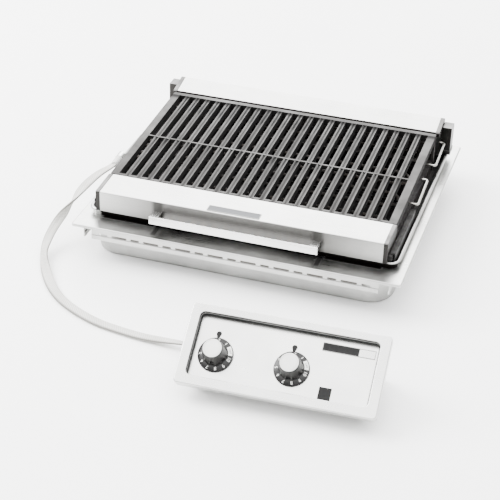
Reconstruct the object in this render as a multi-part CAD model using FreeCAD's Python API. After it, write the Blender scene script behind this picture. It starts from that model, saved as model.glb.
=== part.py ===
import FreeCAD, Part
import math
import os

os.makedirs("parts", exist_ok=True)

# Millimetres, +Z up, +Y to the rear, origin at the centre of the tub's flat base.
# Heights marked "over the deck" count from the top of the deck flange.
V = FreeCAD.Vector
X_AXIS = V(1, 0, 0)
Y_AXIS = V(0, 1, 0)
Z_AXIS = V(0, 0, 1)

# Sheet metal and clearances
deck_sheet = 1.5
sheet = 1.2
thin_sheet = 0.8
bend_radius = 2.0
cover_bend = 1.0
round_share = 0.99
slide_gap = 0.3
screw_gap = 0.05
spindle_gap = 0.05

# Deck flange
deck_width = 600.0
deck_depth = 540.0
deck_top = 71.0
deck_lip = 5.0
deck_corner = 4.0
deck_side_margin = 21.0
deck_end_margin = 48.0

# Raised collar round the opening
opening_width = deck_width - 2 * deck_side_margin
opening_depth = deck_depth - 2 * deck_end_margin
half_opening = opening_width / 2
half_depth = opening_depth / 2
opening_corner = 11.0
collar_height = 14.0
bead_radius = 3.2

# Outer tub and its insulation
tub_side_step = 4.0
tub_end_reach = 14.0
tub_width = opening_width - 2 * tub_side_step
tub_depth = opening_depth + 2 * tub_end_reach
tub_corner = 46.0
tub_base_radius = 6.0
tub_flange = 12.0
pad_thickness = 7.8
pad_inset = 20.0

# Well liner and drip pan
well_side_gap = 15.0
well_end_gap = 31.0
well_width = tub_width - 2 * well_side_gap
well_depth = tub_depth - 2 * well_end_gap
well_corner = 30.0
well_base_radius = 4.0
pan_gap = 5.0
pan_height = 21.0

# Hold-down strips with two lengths of slot in turn
end_strip_gap = 38.0
side_strip_end = 8.0
strip_drop = 23.3
strip_ledge = 17.5
strip_hem = 8.0
strip_inset = 2.5
side_strip_gap = 3.5
slot_width = 4.0
short_slot = 16.5
long_slot = 29.0
slot_end = 22.0
slot_drop = 12.5
short_slot_count = 9

# Common slope of the grate and the front cover
slope_angle = 2.2
slope_anchor_gap = 52.0
slope_anchor_y = slope_anchor_gap - half_depth
slope_anchor_height = 56.3

# Cooking grate
grate_side_gap = 14.0
grate_half_width = half_opening - grate_side_gap
grate_front_gap = 54.0
grate_rear_gap = 54.0
grate_front = grate_front_gap - half_depth
grate_length = opening_depth - grate_front_gap - grate_rear_gap
grate_thickness = 14.0
bar_width = 9.5
bar_count = 23
side_rail_width = 14.5
edge_slot = 12.55
front_rail_width = 6.0
rear_rail_width = 10.0
cross_rib_reach = 155.0
cross_rib_y = grate_front + cross_rib_reach
cross_rib_width = 4.0
cross_rib_height = 6.0
bar_ridge = 0.9
groove_depth = 2.6

# Grate supports
support_inset = 4.0
support_width = 10.0
support_thickness = 3.5
leg_thickness = 4.5

# Grease drawer
drawer_reach = 13.1
drawer_length = 64.8
drawer_front = -half_depth - drawer_reach
drawer_rear = drawer_front + drawer_length
drawer_side_gap = 20.4
drawer_half_width = half_opening - drawer_side_gap
drawer_floor = 15.7
drawer_lip = 6.0
drawer_rear_lip = 4.0
end_plate_thickness = 7.6
end_plate_proud = 0.9
end_plate_corner = 3.0
trough_front_gap = 9.1
trough_length = 62.0
trough_front = drawer_front + trough_front_gap
trough_rear = trough_front + trough_length
trough_floor = 17.0
trough_rim = 36.5
arm_width = 6.0
arm_height = 9.0
arm_floor = 16.5
arm_length = 146.0
arm_front = trough_front
arm_rear = arm_front + arm_length
runner_front_gap = 4.0
runner_length = 162.0
runner_front = runner_front_gap - half_depth
runner_rear = runner_front + runner_length
runner_overlap = 4.7
runner_play = 2.8

# Handle
handle_left = -156.0
handle_right = 150.0
handle_floor = 22.0
handle_height = 14.5
handle_reach = 24.9
handle_face = drawer_front - handle_reach
handle_thickness = 4.0
handle_chamfer = 1.0
post_width = 16.0
post_height = 13.0
screw_radius = 2.0
screw_depth = 12.0
screw_head_radius = 4.0
screw_head_height = 3.0

# Blank name plate on the drawer's top
plate_left = -59.5
plate_right = 36.5
plate_front_gap = 4.1
plate_depth = 17.0
plate_front = drawer_front + plate_front_gap

# Rear cover, end plates, posts and back panel
rear_side_gap = 17.0
rear_half_width = half_opening - rear_side_gap
rear_front_gap = 49.8
rear_length = 50.1
rear_front = half_depth - rear_front_gap
rear_front_height = 69.3
rear_back = rear_front + rear_length
rear_back_height = 79.0
rear_front_lip = 6.3
rear_back_lip = 24.0
rear_plate_thickness = 8.0
rear_plate_height = 10.0
rear_plate_overhang = 1.0
rear_plate_corner = 4.0
post_overhang = 9.5
post_front_gap = 22.0
post_depth = 26.0
post_front = half_depth - post_front_gap
post_back = post_front + post_depth
post_top = 70.0
foot_height = 8.0
foot_proud = 0.8
panel_top = 68.0
back_panel_flange = 17.5

# Frame that carries the heating elements
frame_end_gap = 55.0
frame_half_length = well_depth / 2 - frame_end_gap
frame_side_gap = 2.5
frame_flange = 16.0
frame_foot = 6.5
frame_top = 20.5
cross_width = 14.0
cross_drop = 12.0
cross_end_gap = 2.0
strap_width = 12.0
strap_thickness = 2.5
strap_side_gap = 79.0
strap_end = 6.0

# Heating elements: four runs each, joined by half turns; their terminals
# count from the front of the terminal box
element_radius = 4.0
front_run_gap = 68.0
rear_run_gap = 61.0
middle_run_gap = 39.0
run_count = 4
element_right_gap = 39.0
element_left_gap = 47.0
return_gap = 31.0
jog_left_gap = 21.0
jog_right_gap = 41.0
entry_bend = 12.0
run_bend_share = 0.98
front_terminals = (28.0, 8.0)
rear_terminals = (58.0, 78.0)

# Lift wires
wire_radius = 2.25
wire_end = 15.0
wire_side_gap = 0.5
wire_run = 80.0
wire_rise = 9.0
wire_return = 9.0
wire_post = 3.0
wire_bend = 5.0
wire_end_bend = 4.0
front_wire_gap = 171.5
rear_wire_gap = 115.4
front_wire_y = front_wire_gap - half_depth
rear_wire_y = half_depth - rear_wire_gap

# Terminal box on the left of the collar
box_side_gap = 11.0
box_width = 18.0
box_front_gap = 4.0
box_front = runner_rear + box_front_gap
box_length = 86.0
box_rear = box_front + box_length
box_top = 35.0
lead_hole_gap = 0.3
block_right_gap = 4.0
block_left_gap = 0.3
block_height = 17.0
connector_inset = 18.0
connector_y = box_front + connector_inset
connector_height = 21.0
connector_radius = 8.0
connector_reach = 11.0
connector_drop = 18.0

# Control cord, a limp flat sleeve shown here as a tube
cord_radius = 6.0
floor_gap = 0.2
gland_lead = 30.0
cord_bend_share = 0.45

# Control panel: the frame of its front-bottom-left corner
panel_x = 14.7
panel_y = -603.0
panel_z = 34.0
panel_tilt = 36.0
panel_heading = 2.0
panel_width = 322.0
panel_height = 136.0
panel_corner = 7.0
bezel_side = 16.0
bezel_head = 13.0
bezel_opening_corner = 9.0
bezel_depth = 14.0
plate_margin = 1.0

# Back box of the panel
box_side_inset = 19.0
box_foot = 10.0
box_head = 126.0
box_base_front = 52.0
box_base_rear = 152.0
gland_back = 130.0
gland_height = 14.0
gland_reach = 14.0
gland_radius = 8.0
gland_nut_radius = 10.5
gland_nut_height = 5.0
conduit_radius = 11.1
conduit_back = 122.0
conduit_height = 22.0

# Switches and knobs
knob_height = 59.0
knob_left = 53.5
knob_spacing = 123.0
switch_size = 38.0
switch_depth = 34.0
bushing_radius = 4.75
bushing_proud = 4.5
nut_across_flats = 14.0
nut_height = 2.5
spindle_radius = 3.0
spindle_in_switch = 12.0
spindle_above_plate = 22.0
dial_radius = 28.5
dial_gap = 1.7
dial_thickness = 1.2
dial_crown = 5.8
dial_crown_radius = 20.5
dial_hole_radius = 8.5
grip_base_radius = 20.0
grip_top_radius = 16.0
grip_top = 32.5
grip_flutes = 6
flute_radius = 5.0
flute_offset = 22.5
cap_radius = 15.0
cap_height = 1.5
cap_chamfer = 0.5

# Blank badge on the control plate
badge_side_gap = 22.0
badge_head_gap = 24.0
badge_width = 84.0
badge_height = 14.0

# Places worked out from the sizes above
ledge = deck_top - deck_sheet
slope = math.tan(math.radians(slope_angle))
tub_flange_top = ledge - sheet
end_strip_length = deck_width - 2 * end_strip_gap
side_strip_length = deck_depth - 2 * side_strip_end
bar_field = 2 * (grate_half_width - side_rail_width - edge_slot)
bar_pitch = (bar_field - bar_width) / (bar_count - 1)
leg_outer = grate_half_width
runner_shelf = arm_floor - slide_gap
arm_inner = drawer_half_width + end_plate_thickness
arm_outer = arm_inner + arm_width
runner_inner = arm_outer - runner_overlap
runner_web = arm_outer + runner_play
frame_web_inner = well_width / 2 + frame_side_gap
frame_web_outer = frame_web_inner + deck_sheet
frame_flange_inner = frame_web_outer - frame_flange
frame_foot_outer = frame_web_outer + frame_foot
strap_pitch = half_opening - strap_side_gap
front_run = front_run_gap - half_depth
rear_run = half_depth - rear_run_gap
run_pitch = (rear_run - front_run - middle_run_gap) / (2 * run_count - 2)
strap_front = front_run - strap_end
strap_rear = rear_run + strap_end
strap_floor = frame_top + sheet
strap_top = strap_floor + strap_thickness
element_height = strap_top + element_radius
wire_post_top = strap_top + 2 * element_radius + slide_gap
wire_height = wire_post_top + wire_radius
wire_left = -strap_pitch - wire_end
wire_outer = half_opening - wire_side_gap
element_right = half_opening - element_right_gap
element_left = element_left_gap - half_opening
return_x = return_gap - half_opening
jog_left = jog_left_gap - half_opening
jog_right = jog_right_gap - half_opening
post_outer = half_opening + post_overhang
box_right = box_side_gap - half_opening
box_left = box_right - box_width
block_right = box_right - block_right_gap
rear_plate_outer = rear_half_width + rear_plate_thickness
panel_plate_top = -bezel_depth
panel_plate_bottom = panel_plate_top - deck_sheet
badge_right = panel_width - badge_side_gap
badge_left = badge_right - badge_width
badge_high = panel_height - badge_head_gap
badge_low = badge_high - badge_height
knob_places = {"left": knob_left, "right": knob_left + knob_spacing}


def slope_top(y):
    """Height over the deck of the common sloped plane at a depth y."""
    return slope_anchor_height + (y - slope_anchor_y) * slope


def box(x_range, y_range, z_range):
    """Block between two x, two y and two z values."""
    size = [high - low for low, high in (x_range, y_range, z_range)]
    return Part.makeBox(*size, V(x_range[0], y_range[0], z_range[0]))


def deck_box(x_range, y_range, z_range):
    """The same block with its heights counted over the deck."""
    return box(x_range, y_range, [deck_top + z for z in z_range])


def prism(points, depth, start=0.0):
    """Extrude a closed outline of (y, z) points along +X."""
    corners = [V(start, y, z) for y, z in points]
    face = Part.Face(Part.makePolygon(corners + corners[:1]))
    return face.extrude(V(depth, 0, 0))


def deck_prism(points, half_width):
    """Extrude (y, height over the deck) points evenly about x = 0."""
    raised = [(y, deck_top + z) for y, z in points]
    return prism(raised, 2 * half_width, -half_width)


def edges_along(shape, axis, accept=None):
    """Straight edges of a shape that run along an axis, and pass an optional test."""
    found = []
    for edge in shape.Edges:
        if len(edge.Vertexes) != 2:
            continue
        span = edge.Vertexes[1].Point - edge.Vertexes[0].Point
        if abs(span.dot(axis)) < span.Length - 1e-6:
            continue
        if accept is None or accept(edge.CenterOfMass):
            found.append(edge)
    return found


def rounded_block(half_x, half_y, low, high, corner):
    """Upright block with rounded vertical edges, centred on the origin."""
    block = box((-half_x, half_x), (-half_y, half_y), (low, high))
    return block.makeFillet(corner, edges_along(block, Z_AXIS))


def dish(half_x, half_y, low, high, corner, wall, base_radius):
    """Open rounded box with a floor and a rolled bottom edge."""
    outer = rounded_block(half_x, half_y, low, high, corner)
    inner = rounded_block(half_x - wall, half_y - wall, low + wall, high + wall, corner - wall)
    outer = outer.makeFillet(base_radius, low_edges(outer, low))
    inner = inner.makeFillet(base_radius - wall, low_edges(inner, low + wall))
    return outer.cut(inner)


def low_edges(shape, level):
    """Edges of a shape that lie at one height."""
    return [e for e in shape.Edges if all(abs(v.Z - level) < 1e-6 for v in e.Vertexes)]


def cylinder(radius, height, base, axis):
    return Part.makeCylinder(radius, height, base, axis)


def hexagon(across_flats, height, base, axis):
    """Hexagonal prism standing on a base point along an axis."""
    reach = across_flats / math.cos(math.radians(30)) / 2
    corners = [V(reach, 0, 0)]
    for side in range(1, 6):
        turn = FreeCAD.Rotation(Z_AXIS, 60 * side)
        corners.append(turn.multVec(V(reach, 0, 0)))
    nut = Part.Face(Part.makePolygon(corners + corners[:1])).extrude(V(0, 0, height))
    nut.Placement = FreeCAD.Placement(base, FreeCAD.Rotation(Z_AXIS, axis))
    return nut


def mirrored(shape):
    """Copy of a shape on the other side of x = 0."""
    return shape.mirror(V(0, 0, 0), X_AXIS)


def mirrored_y(shape):
    """Copy of a shape on the other side of y = 0."""
    return shape.mirror(V(0, 0, 0), Y_AXIS)


def joined(shapes):
    """Fuse shapes into one clean solid."""
    return shapes[0].fuse(shapes[1:]).removeSplitter()


def group(shapes):
    """Separate solids that share one node."""
    return Part.makeCompound(shapes)


def rounded_path(points, radii):
    """Straight runs joined by tangent arcs, one radius for each inner point."""
    edges = []
    start = points[0]
    for before, corner, after, radius in zip(points, points[1:], points[2:], radii):
        towards = (before - corner).normalize()
        away = (after - corner).normalize()
        half_turn = (math.pi - towards.getAngle(away)) / 2
        reach = radius * math.tan(half_turn)
        first = corner + towards * reach
        last = corner + away * reach
        bisector = (towards + away).normalize()
        middle = corner + bisector * (radius / math.cos(half_turn) - radius)
        edges.append(Part.LineSegment(start, first).toShape())
        edges.append(Part.Arc(first, middle, last).toShape())
        start = last
    edges.append(Part.LineSegment(start, points[-1]).toShape())
    return Part.Wire(edges)


def rod(points, radii, radius):
    """Round rod along a rounded path."""
    path = rounded_path(points, radii)
    section = Part.makeCircle(radius, points[0], (points[1] - points[0]).normalize())
    return path.makePipeShell([Part.Wire(section)], True, False)


# Deck flange and collar
def deck_flange():
    half_x = deck_width / 2
    half_y = deck_depth / 2
    deck = rounded_block(half_x, half_y, deck_top - deck_lip, deck_top, deck_corner)
    deck = deck.makeFillet(bend_radius, low_edges(deck, deck_top))
    hollow = rounded_block(half_x - deck_sheet, half_y - deck_sheet, deck_top - deck_lip, ledge,
                           deck_corner - deck_sheet)
    hollow = hollow.makeFillet(bend_radius - deck_sheet, low_edges(hollow, ledge))
    opening = rounded_block(opening_width / 2, opening_depth / 2, ledge, deck_top, opening_corner)
    return deck.cut(hollow).cut(opening)


def collar_section():
    """Wall and rolled bead, drawn as distance outward and height."""
    middle = deck_top + collar_height - bead_radius
    meeting = middle - math.sqrt(bead_radius ** 2 - (bead_radius - sheet) ** 2)
    foot = [V(sheet, 0, meeting), V(sheet, 0, deck_top), V(0, 0, deck_top), V(0, 0, middle)]
    over = Part.Arc(foot[-1], V(bead_radius, 0, middle + bead_radius), V(2 * bead_radius, 0, middle))
    under = Part.Arc(V(2 * bead_radius, 0, middle), V(bead_radius, 0, middle - bead_radius), foot[0])
    edges = Part.makePolygon(foot).Edges + [over.toShape(), under.toShape()]
    return Part.Face(Part.Wire(edges))


def rim_collar():
    half_x = opening_width / 2
    half_y = opening_depth / 2
    centre = V(half_x - opening_corner, half_y - opening_corner, 0)
    section = collar_section()
    side = section.translated(V(half_x, -centre.y, 0)).extrude(V(0, 2 * centre.y, 0))
    bend = section.translated(V(half_x, centre.y, 0)).revolve(centre, Z_AXIS, 90)
    end = section.rotated(V(0, 0, 0), Z_AXIS, 90).translated(V(centre.x, half_y, 0))
    end = end.extrude(V(-2 * centre.x, 0, 0))
    half = joined([side, bend, end, mirrored(side), mirrored(bend)])
    lower = joined([mirrored_y(bend), mirrored_y(end), mirrored(mirrored_y(bend))])
    return joined([half, lower])


# Tub, insulation, liner and drip pan
def flange_ring(low, inner_x, inner_y, inner_corner):
    """Flat flange shared by the tub and the liner."""
    half_x = tub_width / 2 + tub_flange
    half_y = tub_depth / 2 + tub_flange
    ring = rounded_block(half_x, half_y, low, low + sheet, tub_corner + tub_flange)
    return ring.cut(rounded_block(inner_x, inner_y, low, low + sheet, inner_corner))


def outer_tub():
    half_x = tub_width / 2
    half_y = tub_depth / 2
    tub = dish(half_x, half_y, 0, tub_flange_top, tub_corner, sheet, tub_base_radius)
    flange = flange_ring(tub_flange_top - sheet, half_x - sheet, half_y - sheet, tub_corner - sheet)
    return joined([tub, flange])


def insulation_pad():
    half_x = well_width / 2 - pad_inset + tub_base_radius
    half_y = well_depth / 2 - pad_inset + tub_base_radius
    return rounded_block(half_x, half_y, sheet, sheet + pad_thickness, well_corner)


def well_liner():
    half_x = well_width / 2 + sheet
    half_y = well_depth / 2 + sheet
    floor = sheet + pad_thickness
    corner = well_corner + sheet
    liner = dish(half_x, half_y, floor, ledge, corner, sheet, well_base_radius)
    flange = flange_ring(ledge - sheet, half_x - sheet, half_y - sheet, well_corner)
    return joined([liner, flange])


def drip_pan():
    floor = pad_thickness + 2 * sheet
    half_x = well_width / 2 - pan_gap
    half_y = well_depth / 2 - pan_gap
    return dish(half_x, half_y, floor, floor + pan_height, well_corner - pan_gap, thin_sheet,
                well_base_radius)


# Hold-down strips
def hold_down_strip(length):
    """Slotted angle: front face on y = 0, top on z = 0, ledge towards +Y."""
    half = length / 2
    slot_period = (length - 2 * slot_end) / (short_slot_count - 1)
    leg = box((-half, half), (0, sheet), (-strip_drop, 0))
    ledge_leg = box((-half, half), (0, strip_ledge), (-sheet, 0))
    hem = box((-half, half), (-sheet, 0), (-strip_drop, strip_hem - strip_drop))
    strip = joined([leg, ledge_leg, hem])
    first = -(short_slot_count - 1) * slot_period / 2
    for number in range(short_slot_count):
        strip = strip.cut(strip_slot(first + number * slot_period, short_slot))
    for number in range(short_slot_count - 1):
        strip = strip.cut(strip_slot(first + (number + 0.5) * slot_period, long_slot))
    return strip


def strip_slot(centre, length):
    half = length / 2
    rise = slot_width / 2
    slot = box((centre - half, centre + half), (0, sheet), (-slot_drop - rise, -slot_drop + rise))
    return slot.makeFillet(rise * round_share, edges_along(slot, Y_AXIS))


def end_strip(turn):
    """Strip under the deck's front edge, turned about the vertical."""
    strip = hold_down_strip(end_strip_length)
    strip.translate(V(0, strip_inset - deck_depth / 2, ledge))
    strip.rotate(V(0, 0, 0), Z_AXIS, turn)
    return strip


def side_strip(turn):
    """Side strips face the tub, so their ledge points outward."""
    strip = hold_down_strip(side_strip_length)
    strip.translate(V(0, tub_width / 2 + side_strip_gap, tub_flange_top - sheet))
    strip.rotate(V(0, 0, 0), Z_AXIS, turn)
    return strip


# Cooking grate, drawn flat with its top front edge on the X axis
def on_slope(shape, y):
    """Set a flat shape on the common slope with its origin at depth y."""
    shape.rotate(V(0, 0, 0), X_AXIS, slope_angle)
    shape.translate(V(0, y, deck_top + slope_top(y)))
    return shape


def cooking_grate():
    grate = box((-grate_half_width, grate_half_width), (0, grate_length), (-grate_thickness, 0))
    rail_edge = grate_half_width - side_rail_width
    slot_range = (front_rail_width, grate_length - rear_rail_width)
    rib_start = (cross_rib_y - grate_front) / math.cos(math.radians(slope_angle)) - cross_rib_width / 2
    rib = box((-rail_edge, rail_edge), (rib_start, rib_start + cross_rib_width), (-cross_rib_height, 0))
    first = -(bar_count - 1) / 2 * bar_pitch
    bars = [first + number * bar_pitch for number in range(bar_count)]
    lefts = [-rail_edge] + [bar + bar_width / 2 for bar in bars]
    rights = [bar - bar_width / 2 for bar in bars] + [rail_edge]
    slots = [box((low, high), slot_range, (-grate_thickness, 0)) for low, high in zip(lefts, rights)]
    grate = grate.cut(group(slots)).cut(group([grease_groove(bar) for bar in bars]))
    grate = grate.fuse(rib).removeSplitter()
    edges = edges_along(grate, Z_AXIS, lambda c: abs(c.x) > grate_half_width - 1)
    grate = grate.makeFillet(bend_radius, edges)
    return on_slope(grate, grate_front)


def grease_groove(bar):
    """V groove between the two ridges of one bar, open at the front end."""
    reach = bar_width / 2 - bar_ridge
    corners = [V(bar - reach, 0, 0), V(bar + reach, 0, 0), V(bar, 0, -groove_depth)]
    face = Part.Face(Part.makePolygon(corners + corners[:1]))
    return face.extrude(V(0, grate_length - rear_rail_width, 0))


# Grate supports, drawn flat under the grate and stood on legs
def grate_support(flat_start):
    bar = box((-leg_outer, leg_outer), (flat_start, flat_start + support_width),
              (-grate_thickness - support_thickness, -grate_thickness))
    bar = on_slope(bar, grate_front)
    bounds = bar.BoundBox
    above = box((-leg_outer, leg_outer), (0, grate_length), (-grate_thickness, grate_thickness))
    above = on_slope(above, grate_front)
    leg = box((leg_outer - leg_thickness, leg_outer), (bounds.YMin, bounds.YMax), (ledge, bounds.ZMax))
    leg = leg.cut(above)
    return joined([bar, leg, mirrored(leg)])


def front_grate_support():
    return grate_support(support_inset)


def rear_grate_support():
    return grate_support(grate_length - support_inset - support_width)


# Grease drawer
def front_cover():
    front = drawer_front
    rear = drawer_rear
    floor = drawer_floor
    under = sheet / math.cos(math.radians(slope_angle))
    outline = [
        (front, floor),
        (front, slope_top(front)),
        (rear, slope_top(rear)),
        (rear, slope_top(rear) - drawer_rear_lip),
        (rear - sheet, slope_top(rear) - drawer_rear_lip),
        (rear - sheet, slope_top(rear - sheet) - under),
        (front + sheet, slope_top(front + sheet) - under),
        (front + sheet, floor + sheet),
        (front + drawer_lip, floor + sheet),
        (front + drawer_lip, floor),
    ]
    cover = deck_prism(outline, drawer_half_width)
    cover = cover.makeFillet(bend_radius, x_edges_near(cover, front, slope_top(front)))
    hole = cylinder(screw_radius + screw_gap, sheet, V(0, front, deck_top + handle_centre()), Y_AXIS)
    return cover.cut(group([hole.translated(V(x, 0, 0)) for x in post_centres()]))


def x_edges_near(shape, y, height):
    """Edge along X that passes through one (y, height over the deck) point."""
    place = V(0, y, deck_top + height)
    return edges_along(shape, X_AXIS, lambda c: (V(0, c.y, c.z) - place).Length < 1e-3)


def front_end_plate():
    """Right end plate; the left one is its mirror image."""
    front = drawer_front - end_plate_proud
    rear = drawer_rear + end_plate_proud
    floor = drawer_floor - end_plate_proud
    tops = [(y, slope_top(y) + end_plate_proud) for y in (front, rear)]
    outline = [(front, floor)] + tops + [(rear, floor)]
    raised = [(y, deck_top + z) for y, z in outline]
    plate = prism(raised, end_plate_thickness, drawer_half_width)
    return plate.makeFillet(end_plate_corner, edges_along(plate, X_AXIS))


def grease_trough():
    x_range = (-drawer_half_width, drawer_half_width)
    block = deck_box(x_range, (trough_front, trough_rear), (trough_floor, trough_rim))
    inner_x = (-drawer_half_width + sheet, drawer_half_width - sheet)
    inner_y = (trough_front + sheet, trough_rear - sheet)
    hollow = deck_box(inner_x, inner_y, (trough_floor + sheet, trough_rim))
    return block.cut(hollow)


def drawer_arm():
    """Right arm, bolted outside the end plate and riding in the runner."""
    x_range = (arm_inner, arm_outer)
    return deck_box(x_range, (arm_front, arm_rear), (arm_floor, arm_floor + arm_height))


def drawer_runner():
    """Right runner: web on the ledge, shelf below the arm and lip above it."""
    y_range = (runner_front, runner_rear)
    lip = arm_floor + arm_height + slide_gap
    web = deck_box((runner_web, runner_web + deck_sheet), y_range, (-deck_sheet, lip + deck_sheet))
    shelf = deck_box((runner_inner, runner_web), y_range, (runner_shelf - deck_sheet, runner_shelf))
    top = deck_box((runner_inner, runner_web), y_range, (lip, lip + deck_sheet))
    foot = deck_box((frame_foot_outer + slide_gap, runner_web), y_range, (-deck_sheet, 0))
    return joined([web, shelf, top, foot])


# Handle
def handle_centre():
    """Height over the deck of the handle's middle."""
    return handle_floor + handle_height / 2


def post_centres():
    return (handle_left + post_width / 2, handle_right - post_width / 2)


def handle_bar():
    y_range = (handle_face, handle_face + handle_thickness)
    bar = deck_box((handle_left, handle_right), y_range, (handle_floor, handle_floor + handle_height))
    return bar.makeChamfer(handle_chamfer, edges_along(bar, X_AXIS, lambda c: c.y < handle_face + 1))


def handle_posts():
    half = post_height / 2
    y_range = (handle_face + handle_thickness, drawer_front)
    z_range = (handle_centre() - half, handle_centre() + half)
    posts = []
    for x in post_centres():
        post = deck_box((x - post_width / 2, x + post_width / 2), y_range, z_range)
        base = V(x, drawer_front, deck_top + handle_centre())
        posts.append(post.cut(cylinder(screw_radius + screw_gap, screw_depth, base, -Y_AXIS)))
    return group(posts)


def handle_screws():
    screws = []
    for x in post_centres():
        base = V(x, drawer_front + sheet, deck_top + handle_centre())
        shank = cylinder(screw_radius, screw_depth, base, -Y_AXIS)
        head = cylinder(screw_head_radius, screw_head_height, base, Y_AXIS)
        screws.append(joined([shank, head]))
    return group(screws)


def name_plate():
    """Blank plate on the drawer's sloped top."""
    length = plate_depth / math.cos(math.radians(slope_angle))
    plate = box((plate_left, plate_right), (0, length), (0, thin_sheet))
    return on_slope(plate, plate_front)


# Rear cover, its end plates, posts and back panel
def rear_top(y):
    """Height over the deck of the rear cover's top at a depth y."""
    share = (y - rear_front) / (rear_back - rear_front)
    return rear_front_height + share * (rear_back_height - rear_front_height)


def rear_cover():
    rise = math.atan2(rear_back_height - rear_front_height, rear_back - rear_front)
    under = sheet / math.cos(rise)
    outline = [
        (rear_front, rear_front_height),
        (rear_back, rear_back_height),
        (rear_back, rear_back_height - rear_back_lip),
        (rear_back - sheet, rear_back_height - rear_back_lip),
        (rear_back - sheet, rear_top(rear_back - sheet) - under),
        (rear_front + sheet, rear_top(rear_front + sheet) - under),
        (rear_front + sheet, rear_front_height - rear_front_lip),
        (rear_front, rear_front_height - rear_front_lip),
    ]
    cover = deck_prism(outline, rear_half_width)
    edges = x_edges_near(cover, rear_back, rear_back_height)
    edges += x_edges_near(cover, rear_front, rear_front_height)
    return cover.makeFillet(cover_bend, edges)


def rear_end_plate():
    """Right end plate, set along the cover's slope."""
    rise = math.atan2(rear_back_height - rear_front_height, rear_back - rear_front)
    length = (rear_back - rear_front) / math.cos(rise) + 2 * rear_plate_overhang
    y_range = (-rear_plate_overhang, length - rear_plate_overhang)
    z_range = (end_plate_proud - rear_plate_height, end_plate_proud)
    plate = box((rear_half_width, rear_plate_outer), y_range, z_range)
    plate = plate.makeFillet(rear_plate_corner, edges_along(plate, X_AXIS))
    plate.rotate(V(0, 0, 0), X_AXIS, math.degrees(rise))
    plate.translate(V(0, rear_front, deck_top + rear_front_height))
    return plate


def rear_post():
    """Right rear post and its foot, standing on the collar."""
    x_range = (rear_plate_outer, post_outer)
    y_range = (post_front, post_back)
    foot_x = (rear_plate_outer, post_outer + foot_proud)
    foot_y = (post_front - foot_proud, post_back + foot_proud)
    foot = deck_box(foot_x, foot_y, (collar_height, collar_height + foot_height))
    post = deck_box(x_range, y_range, (collar_height + foot_height, post_top))
    return joined([foot, post])


def rear_back_panel():
    back = rear_back - sheet
    half = rear_plate_outer
    wall = deck_box((-half, half), (back - sheet, back), (-deck_sheet, panel_top))
    front = back - back_panel_flange
    top = deck_box((-half, half), (front, back), (panel_top - sheet, panel_top))
    notch = deck_box((rear_half_width, half), (front, back - sheet), (0, panel_top))
    return joined([wall, top]).cut(group([notch, mirrored(notch)]))


# Frame and straps under the heating elements
def element_frame():
    side_range = (-frame_half_length, frame_half_length)
    web = deck_box((frame_web_inner, frame_web_outer), side_range, (-deck_sheet, frame_top))
    flange = deck_box((frame_flange_inner, frame_web_outer), side_range, (frame_top - deck_sheet, frame_top))
    foot = deck_box((frame_web_outer, frame_foot_outer), side_range, (-deck_sheet, 0))
    cross_half = frame_web_inner
    cross_range = (-frame_half_length, cross_width - frame_half_length)
    cross = deck_box((-cross_half, cross_half), cross_range, (frame_top, frame_top + sheet))
    drop_half = frame_flange_inner - cross_end_gap
    drop_range = (cross_range[1] - sheet, cross_range[1])
    drop = deck_box((-drop_half, drop_half), drop_range, (frame_top - cross_drop, frame_top))
    side = joined([web, flange, foot])
    front = joined([cross, drop])
    return joined([side, mirrored(side), front, mirrored_y(front)])


def element_straps():
    """Three straps under the tubes, each with two posts that carry the lift wires."""
    straps = []
    for x in (-strap_pitch, 0, strap_pitch):
        x_range = (x - strap_width / 2, x + strap_width / 2)
        pieces = [deck_box(x_range, (strap_front, strap_rear), (strap_floor, strap_top))]
        for y in (front_wire_y, rear_wire_y):
            y_range = (y - wire_post / 2, y + wire_post / 2)
            pieces.append(deck_box(x_range, y_range, (strap_top, wire_post_top)))
        straps.append(joined(pieces))
    return group(straps)


# Heating elements
def element(far_run, step, terminals):
    """Serpentine of four runs whose two ends enter the terminal box side by side."""
    height = deck_top + element_height
    half_turn = run_pitch / 2
    near_run = far_run + (run_count - 1) * step * run_pitch
    first, last = [box_front + terminal for terminal in terminals]
    points = [V(block_right, first, height), V(jog_left, first, height)]
    radii = [entry_bend]
    points.append(V(jog_right, near_run, height))
    radii.append(entry_bend)
    for number in range(run_count - 1, 0, -1):
        here = far_run + number * step * run_pitch
        turn_right = (run_count - 1 - number) % 2 == 0
        x = element_right if turn_right else element_left
        points += [V(x, here, height), V(x, here - step * run_pitch, height)]
        radii += [half_turn * run_bend_share] * 2
    points += [V(return_x, far_run, height), V(return_x, last, height)]
    radii += [entry_bend, entry_bend]
    points.append(V(block_right, last, height))
    return rod(points, radii, element_radius)


def front_element():
    return element(front_run, 1, front_terminals)


def rear_element():
    return element(rear_run, -1, rear_terminals)


# Lift wires
def lift_wire(y):
    """Rod across the straps' posts that ends in a rising loop beside the grate."""
    low = deck_top + wire_height
    end = low + wire_rise
    points = [
        V(wire_left, y, low),
        V(wire_outer, y, low),
        V(wire_outer, y + wire_run, end),
        V(wire_outer - wire_return, y + wire_run, end),
    ]
    return rod(points, [wire_bend, wire_end_bend], wire_radius)


# Terminal box
def terminal_box():
    walls = deck_box((box_left, box_right), (box_front, box_rear), (collar_height, box_top - sheet))
    inner_x = (box_left + sheet, box_right - sheet)
    inner_y = (box_front + sheet, box_rear - sheet)
    hollow = deck_box(inner_x, inner_y, (collar_height + sheet, box_top - sheet))
    leg = deck_box((box_right - sheet, box_right), (box_front, box_rear), (0, collar_height))
    shell = joined([walls, leg]).cut(hollow)
    hole_radius = element_radius + lead_hole_gap
    holes = []
    for terminal in front_terminals + rear_terminals:
        base = V(box_right - sheet, box_front + terminal, deck_top + element_height)
        holes.append(cylinder(hole_radius, sheet, base, X_AXIS))
    return shell.cut(group(holes))


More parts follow.
